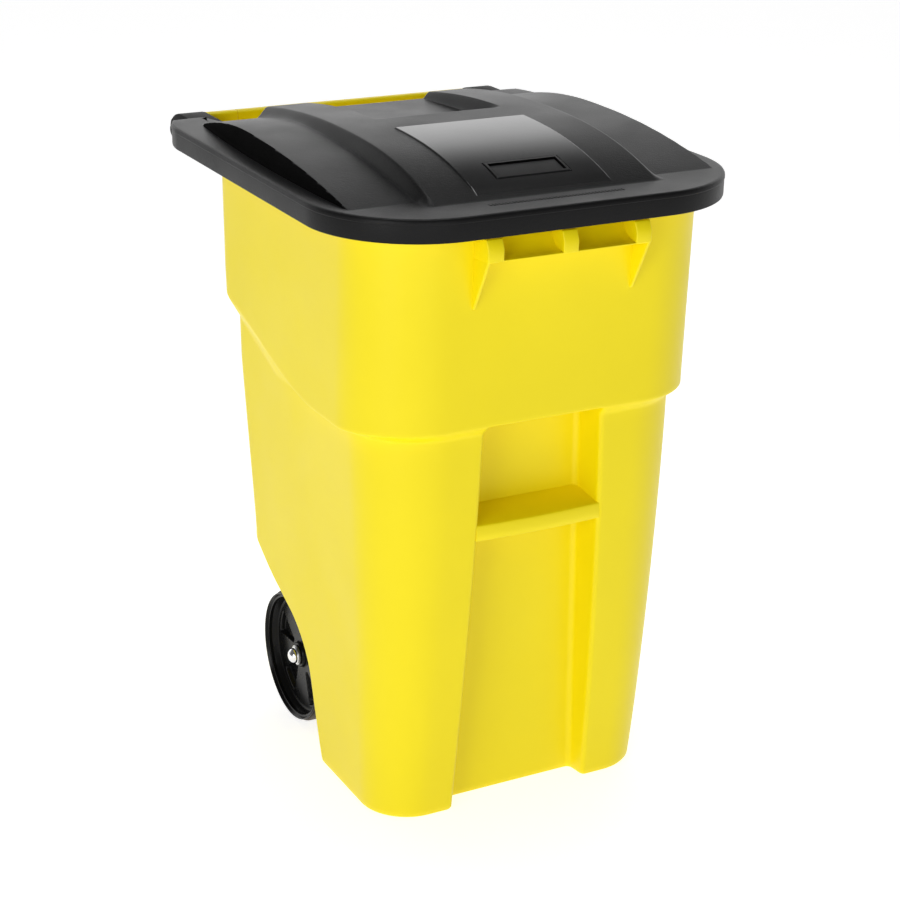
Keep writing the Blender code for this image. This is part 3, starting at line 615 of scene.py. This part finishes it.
def dome_height(x, d):
    """Top surface of the lid: flange, outer bands, raised middle band, front panel and rear recess."""
    x, d = np.asarray(x, float), np.asarray(d, float)
    across = np.abs(x)
    ahead = np.clip((OUTER_PEAK_D - d) / (OUTER_PEAK_D - OUTER_FRONT), 0.0, 1.0)
    behind = (d - OUTER_PEAK_D) / OUTER_FALL
    outer = (OUTER_PEAK - FLANGE_Z) * np.where(d < OUTER_PEAK_D, 1 - ahead ** 2.2, 1 - behind ** 2)
    ahead = np.clip((INNER_PEAK_D - d) / (INNER_PEAK_D - INNER_FRONT), 0.0, 1.0)
    behind = (d - INNER_PEAK_D) / INNER_FALL
    inner = (INNER_PEAK - FLANGE_Z) * np.where(d < INNER_PEAK_D, 1 - ahead ** 2.8, 1 - behind ** 2)
    step = 1 - ease(across, BAND_HALF - 0.006, BAND_HALF + 0.010)
    crown = BAND_CROWN * (1 - (across / BAND_HALF) ** 2) * step * ease(d, 0.08, 0.2)
    panel = 1 - ease(across, PANEL_HALF - 0.0012, PANEL_HALF + 0.0012)
    panel *= (1 - ease(d, PANEL_REAR - 0.002, PANEL_REAR + 0.002)) * ease(d, 0.066, 0.090)
    rise = outer + (inner - outer) * step + crown + PANEL_RAISE * panel
    floor = RECESS_FLOOR - FLANGE_Z - RECESS_SLOPE * np.maximum(0.0, d - RECESS_D)
    dip = 1 - ease(across, RECESS_HALF - 0.005, RECESS_HALF + 0.004)
    dip *= ease(d, RECESS_D - 0.018, RECESS_D + 0.014)
    rise = rise + (np.minimum(floor, rise) - rise) * dip
    foot = np.vectorize(dome_base)(d)
    end = (foot - across) * 4.6
    back = (DOME_REAR - d) * 2.4
    rise = soft_min(rise, np.maximum(end, 0.0), 0.0030)
    rise = soft_min(rise, np.maximum(back, 0.0), 0.0060)
    return FLANGE_Z + np.maximum(rise, 0.0)


def plate_margin(x, d):
    """Distance inside the nameplate's edge, negative outside it."""
    return np.minimum(PLATE_HALF - np.abs(x), np.minimum(d - PLATE_D0, PLATE_D1 - d))


def lid_stations():
    """Stations across and along the lid, close together where its surface has a step."""
    across = spaced((0.0, 0.052, 0.004), (0.0530, 0.0560, 0.0006), (0.058, 0.0860, 0.004),
                    (0.0880, 0.0950, 0.0010), (0.0956, 0.1010, 0.0006), (0.104, 0.156, 0.004),
                    (0.1580, 0.1780, 0.0013), (0.181, 0.258, 0.004), (0.2600, 0.2740, 0.0009),
                    (0.277, LID_HALF - LID_EDGE, 0.004))
    across = [-x for x in reversed(across[1:])] + across
    radius = LID_RADIUS - LID_EDGE
    corner = [LID_RADIUS - radius * math.cos(math.radians(a)) for a in range(0, 91, 5)]
    along = corner + spaced((0.056, 0.0970, 0.0025), (0.0976, 0.1000, 0.0006), (0.102, 0.1360, 0.003),
                            (0.1372, 0.1396, 0.0006), (0.142, 0.298, 0.004), (0.3005, 0.3060, 0.0007),
                            (0.309, 0.358, 0.004), (0.3610, 0.3950, 0.0016), (0.399, 0.576, 0.004),
                            (0.5790, 0.5980, 0.0014))
    kept = []
    for d in sorted(along):
        if not kept or d - kept[-1] > 2e-4:
            kept.append(d)
    return across, kept


def lid_grid():
    """Plan positions of the lid's grid: columns stay inside the outline, last rows follow the rear edge."""
    across, along = lid_stations()
    inner, foot, edge = 0.240, DOME_BASE, LID_HALF - LID_EDGE
    rows = []
    for d in along:
        w = lid_reach(d)
        b = dome_base(d)
        k = min(inner, b - 0.020)
        spread = [float(np.interp(abs(u), (0.0, inner, foot, edge), (0.0, k, b, w))) for u in across]
        rows.append([(math.copysign(x, u), d) for x, u in zip(spread, across)])
    last = along[-1]
    for share in (0.25, 0.5, 0.75, 1.0):
        row = []
        for x, _ in rows[len(along) - 1]:
            rear = REAR_D + (CORNER_D - REAR_D) * float(np.clip((abs(x) - NOTCH_X) / 0.014, 0, 1))
            d = last + (rear - LID_EDGE * 0.4 - last) * share
            row.append((x * lid_reach(d) / lid_reach(last) if abs(x) > 0.24 else x, d))
        rows.append(row)
    return np.array(rows)


def boundary_of(rows, columns):
    """Grid indices round the border, anticlockwise from the front left corner."""
    order = [(0, i) for i in range(columns)]
    order += [(j, columns - 1) for j in range(1, rows)]
    order += [(rows - 1, i) for i in range(columns - 2, -1, -1)]
    order += [(j, 0) for j in range(rows - 2, 0, -1)]
    return order


def lid_finish(x0, x1, d0, d1, climb):
    """Material slot of one face on the lid's top: 2, a darker matt black that paints shade, on the steep dome
    ends and in the plate's gap; 1 on the panel.
    """
    steep = abs(x0) > 0.22 and abs(climb) > 1.3 * abs(x1 - x0)
    if steep or -0.0016 < plate_margin((x0 + x1) / 2, (d0 + d1) / 2) < 0.0004:
        return 2
    return int(abs(x0) < PANEL_HALF and abs(x1) < PANEL_HALF and PANEL_FRONT < d0 < PANEL_REAR - 0.002)


def make_lid(looks):
    """The lid: a grid for its top, a turned-down skirt, and the same grid again for its underside."""
    plan = lid_grid()
    rows, columns = plan.shape[:2]
    x, d = plan[..., 0], plan[..., 1]
    top = dome_height(x, d)
    under = top - LID_WALL
    top = top - PLATE_POCKET * (plate_margin(x, d) > -PLATE_GAP)
    order = boundary_of(rows, columns)
    edge = np.array([plan[j, i] for j, i in order])
    ahead, behind = np.roll(edge, -1, 0), np.roll(edge, 1, 0)
    run = ahead - behind
    normal = np.column_stack([run[:, 1], -run[:, 0]])
    normal /= np.linalg.norm(normal, axis=1)[:, None]
    rear_share = ease(edge[:, 1], BEND_D + 0.012, REAR_D - 0.004)
    rear_share *= 1 - ease(np.abs(edge[:, 0]), 0.262, 0.276)
    deep = 1 - 0.72 * rear_share
    section = [(0.0020, 0.0002), (0.0036, 0.0010), (0.0047, 0.0028), (0.0050, 0.0055), (0.0050, 0.0066),
               (0.0043, 0.0075), (0.0043, 0.0285), (0.0038, 0.0304), (0.0029, 0.0310), (0.0014, 0.0310),
               (0.0008, 0.0302), (0.0008, 0.0075), (0.0, 0.0045)]
    points = [(a, at(b), c) for a, b, c in zip(x.ravel(), d.ravel(), top.ravel())]
    loops = [[j * columns + i for j, i in order]]
    for out, drop in section:
        start = len(points)
        for k in range(len(order)):
            px, pd = edge[k] + normal[k] * out
            points.append((px, at(pd), FLANGE_Z - drop * deep[k]))
        loops.append(list(range(start, len(points))))
    start = len(points)
    points += [(a, at(b), c) for a, b, c in zip(x.ravel(), d.ravel(), under.ravel())]
    loops.append([start + j * columns + i for j, i in order])
    faces, finishes = [], []
    for j in range(rows - 1):
        for i in range(columns - 1):
            a = j * columns + i
            faces.append((a, a + 1, a + columns + 1, a + columns))
            finishes.append(lid_finish(x[j, i], x[j, i + 1], d[j, i], d[j + 1, i], top[j, i + 1] - top[j, i]))
            faces.append((start + a, start + a + columns, start + a + columns + 1, start + a + 1))
            finishes.append(0)
    for a, b in zip(loops, loops[1:]):
        for k in range(len(order)):
            m = (k + 1) % len(order)
            faces.append((a[k], b[k], b[m], a[m]))
            finishes.append(0)
    mesh = bpy.data.meshes.new("lid_shell")
    mesh.from_pydata(points, [], faces)
    # slots: lid black, glossy panel, a darker black with painted shade for steep ends and gaps, and the
    # knuckle black with painted shade
    for look in ("black", "panel", "groove", "knuckle"):
        mesh.materials.append(looks[look])
    mesh.polygons.foreach_set("material_index", finishes)
    bm = bmesh.new()
    bm.from_mesh(mesh)
    add_knuckles(bm)
    add_ribs(bm)
    bm.to_mesh(mesh)
    bm.free()
    lid = bpy.data.objects.new("lid_shell", mesh)
    bpy.context.scene.collection.objects.link(lid)
    return dress(lid, None, "lid_body", ["lid"], 32.0)


def add_knuckles(bm):
    """Hinge knuckles: a barrel round the rod and an arm that drops from the flange's rear corner."""
    barrel = arc((HINGE_D, HINGE_Z), 0.0200, 38, -125, 24)
    arm = [(0.603, 0.8815), (0.678, 0.8820), (0.686, 0.8817), (0.694, 0.8805), (0.702, 0.8781)]
    arm += [(0.709, 0.8746), (0.715, 0.8705), *barrel, (0.664, 0.8530), (0.640, 0.8575), (0.603, 0.8660)]
    old = set(bm.faces)
    for side in (-1, 1):
        rounded_block(bm, arm, *sorted((side * KNUCKLE_IN, side * KNUCKLE_OUT)), 0.0015, 3)
    # the knuckle faces take the darker, almost unreflective black: painted shade
    for face in bm.faces:
        if face not in old:
            face.material_index = 3


def add_ribs(bm):
    """A row of fine ribs on the front flange, where a finger lifts the lid."""
    back, low, high = RIB_D + RIB_LENGTH, FLANGE_Z - 0.0010, FLANGE_Z + 0.0007
    for k in range(RIB_COUNT):
        x = (k - (RIB_COUNT - 1) / 2) * RIB_PITCH
        outline = [(RIB_D, low), (RIB_D, high), (back, high), (back, low)]
        rounded_block(bm, outline, x - 0.0011, x + 0.0011, 0.0003, 1)


def make_plate(looks):
    """Blank nameplate: a raised frame and a lower field, following the dome's front slope."""
    rim, fine = 0.008, 0.0008
    xs = spaced((-PLATE_HALF, PLATE_HALF, 0.004), (-PLATE_HALF, -PLATE_HALF + rim, fine),
                (PLATE_HALF - rim, PLATE_HALF, fine))
    ds = spaced((PLATE_D0, PLATE_D1, 0.003), (PLATE_D0, PLATE_D0 + rim, fine),
                (PLATE_D1 - rim, PLATE_D1, fine))
    X, D = np.meshgrid(xs, ds)
    base = dome_height(np.zeros_like(X), D)
    margin = plate_margin(X, D)
    lift = 0.0010 * ease(margin, -0.0005, 0.0008) - 0.0020 * ease(margin, 0.0042, 0.0058)
    top, low = base + lift, base - 0.0014
    rows, columns = X.shape
    points = [(a, at(b), c) for a, b, c in zip(X.ravel(), D.ravel(), top.ravel())]
    start = len(points)
    points += [(a, at(b), c) for a, b, c in zip(X.ravel(), D.ravel(), low.ravel())]
    faces = []
    for j in range(rows - 1):
        for i in range(columns - 1):
            a = j * columns + i
            faces.append((a, a + 1, a + columns + 1, a + columns))
            faces.append((start + a, start + a + columns, start + a + columns + 1, start + a + 1))
    order = [j * columns + i for j, i in boundary_of(rows, columns)]
    for k, a in enumerate(order):
        b = order[(k + 1) % len(order)]
        faces.append((b, a, start + a, start + b))
    plate = finish_mesh("nameplate_blank", points, faces, looks["plate"], "lid_body",
                        ["lid_nameplate"], 30.0)
    # the sunken ring between frame and field takes the darker black: painted shade in the crease
    plate.data.materials.append(looks["groove"])
    for face in plate.data.polygons:
        if 0.0040 < plate_margin(face.center.x, face.center.y - FRONT_Y) < 0.0064:
            face.material_index = 1
    return plate


# ------------------------------------------------------------- wheels
def wheel_profile(side):
    """Section of the moulded wheel as (x, radius): lip, deep dish, web, hub, back and tread seat."""
    f, b, web = WHEEL_FACE, WHEEL_BACK, WHEEL_FACE - DISH_DEPTH
    front = [(f - 0.0010, 0.0968), (f, 0.0960), (f, 0.0948), (f - 0.0010, 0.0940), (f - 0.0130, 0.0886)]
    front += [(f - 0.0175, 0.0868), (web, 0.0845)]
    web_radii = spaced((0.0240, 0.0820, 0.0016))[::-1]
    first = len(front)
    front += [(web, r) for r in web_radii]
    front += [(web, 0.0212), (web + 0.0010, 0.0198), (f - 0.0140, 0.0188), (f - 0.0130, 0.0178)]
    front += [(f - 0.0130, 0.0112)]
    back = [(b + 0.0020, 0.0112), (b + 0.0020, 0.0180), (b + 0.0030, 0.0190), (web - 0.0075, 0.0215)]
    back += [(web - 0.0085, 0.0240), (web - 0.0085, 0.0820), (web - 0.0070, 0.0850), (b, 0.0870), (b, 0.0955)]
    back += [(b + 0.0010, 0.0965), (b + 0.0025, 0.0965), (b + 0.0045, 0.0902)]
    back += [(f - 0.0045, 0.0902), (f - 0.0030, 0.0965)]
    return [(side * x, r) for x, r in front + back], first, first + len(web_radii)


def make_wheel(side, name, look):
    """Moulded wheel with five tapered pockets pressed into its web."""
    profile, first, last = wheel_profile(side)

    def wave(index, r, turn):
        if not first <= index < last:
            return 0.0
        pitch = 2 * math.pi / SPOKES
        local = (turn - math.pi / 2) % pitch
        local = min(local, pitch - local)
        wide = 0.0030 + 0.0155 * (r - 0.030) / 0.045
        inside = 1 - ease(local * r, wide - 0.0018, wide + 0.0018)
        inside = inside * ease(r, 0.029, 0.034) * (1 - ease(r, 0.0765, 0.0795))
        return -side * POCKET_DEPTH * float(inside)

    points, faces = revolve(profile, 300, AXLE_D, AXLE_Z, wave)
    body = f"wheel_{name}_body"
    finish_mesh("wheel_moulding_" + name, points, faces, look, body, ["wheel_" + name], 34.0)


def make_tread(side, name, look):
    """Solid rubber tread with rounded shoulders and two shallow grooves."""
    f, b, r = WHEEL_FACE - 0.0060, WHEEL_BACK + 0.0060, TYRE_RADIUS
    out = [(b, 0.0904), (b, 0.0972), (b + 0.0006, 0.0985), (b + 0.0018, 0.0995), (b + 0.0035, r)]
    for share in (0.36, 0.64):
        x = b + (f - b) * share
        out += [(x - 0.0014, r), (x - 0.0009, r - 0.0012), (x + 0.0009, r - 0.0012), (x + 0.0014, r)]
    out += [(f - 0.0035, r), (f - 0.0018, 0.0995), (f - 0.0006, 0.0985), (f, 0.0972), (f, 0.0904)]
    points, faces = revolve([(side * x, radius) for x, radius in out], 240, AXLE_D, AXLE_Z)
    body = f"wheel_{name}_body"
    finish_mesh("tread_" + name, points, faces, look, body, ["tyre_" + name], 40.0)


def make_cap(side, name, look):
    """Domed push-on cap over the axle's end."""
    low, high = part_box("axle_cap_" + name)
    inner = low.x if side > 0 else high.x
    profile = [(0.0, 0.0084), (0.0, 0.0126), (0.0005, 0.0130), (0.0014, 0.0130), (0.0019, 0.0124)]
    turns = [math.radians(a) for a in range(0, 91, 6)]
    profile += [(0.0021 + 0.0096 * math.sin(a), 0.0006 + 0.0112 * math.cos(a)) for a in turns]
    profile += [(0.0107, 0.0006), (0.0100, 0.0070), (0.0060, 0.0084)]
    points, faces = revolve([(inner + side * x, r) for x, r in profile], 64, AXLE_D, AXLE_Z)
    finish_mesh("axle_dome_" + name, points, faces, look, "bin", ["axle_cap_" + name], 40.0)


# ------------------------------------------------------------- stage, light, camera
def make_stage():
    """A wide white floor with a faint glow of its own, which keeps it pale away from the lights."""
    mesh = bpy.data.meshes.new("studio_floor")
    far = 60.0
    mesh.from_pydata([(-far, -far, 0), (far, -far, 0), (far, far, 0), (-far, far, 0)], [], [(0, 1, 2, 3)])
    floor = bpy.data.objects.new("studio_floor", mesh)
    floor.location.z = -0.0002
    bpy.context.scene.collection.objects.link(floor)
    made, nodes, links, shader = nodes_of("pale_floor")
    shader.inputs["Base Color"].default_value = (0.70, 0.70, 0.70, 1.0)
    shader.inputs["Roughness"].default_value = 0.85
    shader.inputs["Specular IOR Level"].default_value = 0.1
    shader.inputs["Emission Color"].default_value = (1.0, 1.0, 1.0, 1.0)
    shader.inputs["Emission Strength"].default_value = 0.77
    floor.data.materials.append(made)


def area_light(name, place, target, width, height, power):
    """A white soft box that faces the target."""
    data = bpy.data.lights.new(name, "AREA")
    data.shape = "RECTANGLE"
    data.size, data.size_y = width, height
    data.energy = power
    made = bpy.data.objects.new(name, data)
    made.location = place
    made.rotation_euler = (Vector(place) - Vector(target)).to_track_quat("Z", "Y").to_euler()
    bpy.context.scene.collection.objects.link(made)


def make_world():
    """Studio surroundings: a bright wall behind the bin that fades upwards, and a dim room in front."""
    world = bpy.data.worlds.new("studio")
    bpy.context.scene.world = world
    world.use_nodes = True
    nodes, links = world.node_tree.nodes, world.node_tree.links
    where = nodes.new("ShaderNodeTexCoord")
    facing = nodes.new("ShaderNodeVectorMath")
    facing.operation = "DOT_PRODUCT"
    facing.inputs[1].default_value = (0.47, 0.88, 0.0)
    links.new(where.outputs["Generated"], facing.inputs[0])
    parts = nodes.new("ShaderNodeSeparateXYZ")
    links.new(where.outputs["Generated"], parts.inputs["Vector"])
    behind = ramp_between(nodes, links, facing.outputs["Value"], -0.05, 0.85)
    low = ramp_between(nodes, links, parts.outputs["Z"], 0.64, 0.34)
    both = nodes.new("ShaderNodeMath")
    both.operation = "MULTIPLY"
    links.new(behind, both.inputs[0])
    links.new(low, both.inputs[1])
    level = nodes.new("ShaderNodeMapRange")
    level.inputs["To Min"].default_value = ROOM_LEVEL
    level.inputs["To Max"].default_value = WALL_LEVEL
    links.new(both.outputs["Value"], level.inputs["Value"])
    links.new(level.outputs["Result"], nodes["Background"].inputs["Strength"])
    nodes["Background"].inputs["Color"].default_value = (1.0, 1.0, 1.0, 1.0)


def ramp_between(nodes, links, source, start, end):
    """0 at start, 1 at end, eased between."""
    made = nodes.new("ShaderNodeMapRange")
    made.interpolation_type = "SMOOTHSTEP"
    made.inputs["From Min"].default_value = start
    made.inputs["From Max"].default_value = end
    links.new(source, made.inputs["Value"])
    return made.outputs["Result"]


def make_light():
    """Surroundings, a key light from the front left, a low fill in front and a weak top light."""
    make_world()
    middle = (0.0, 0.0, 0.5)
    area_light("key_left", (-3.6, -2.6, 1.3), middle, 2.0, 2.2, 62)
    area_light("fill_front", (-0.8, -4.4, 0.9), middle, 2.4, 1.4, 24)
    area_light("top", (0.2, 0.3, 3.8), middle, 1.6, 1.6, 42)
    bpy.context.scene.view_settings.view_transform = "Standard"


def make_camera():
    """Long lens, standing front left and looking down a little."""
    azimuth, elevation, roll = (math.radians(a) for a in CAMERA_TURN)
    level = math.cos(elevation)
    back = Vector((math.sin(azimuth) * level, -math.cos(azimuth) * level, math.sin(elevation)))
    right = (-back).cross(Vector((0, 0, 1))).normalized()
    up = back.cross(right)
    turned = right * math.cos(roll) + up * math.sin(roll)
    raised = up * math.cos(roll) - right * math.sin(roll)
    data = bpy.data.cameras.new("camera")
    data.sensor_width = 36.0
    data.lens = CAMERA_LENS
    data.clip_end = 200.0
    made = bpy.data.objects.new("camera", data)
    made.matrix_world = Matrix((turned, raised, back)).transposed().to_4x4()
    made.location = (CAMERA_X, at(CAMERA_D), CAMERA_Z)
    bpy.context.scene.collection.objects.link(made)
    bpy.context.scene.camera = made


# ------------------------------------------------------------- build
def keep_cad(looks):
    """Small hardware keeps its CAD solids and gets finished materials."""
    kinds = {"axle": "steel", "hinge_rod": "steel", "spacer_": "nylon", "hub_bush_": "nylon",
             "inner_washer_": "steel", "outer_washer_": "steel", "rod_cap_": "black"}
    for node, piece in frame["nodes"].items():
        for start, look in kinds.items():
            if node == start or (start.endswith("_") and node.startswith(start)):
                piece.data.materials.clear()
                piece.data.materials.append(looks[look])
                piece.data.shade_smooth()
                piece.data.set_sharp_from_angle(angle=math.radians(30))


def main():
    make_camera()
    make_light()
    make_stage()
    looks = make_looks()
    make_tub(looks["yellow"])
    make_grip(looks["yellow"])
    make_lid(looks)
    make_plate(looks)
    for side, name in ((-1, "left"), (1, "right")):
        make_wheel(side, name, looks["wheel"])
        make_tread(side, name, looks["rubber"])
        make_cap(side, name, looks["chrome"])
    keep_cad(looks)


main()
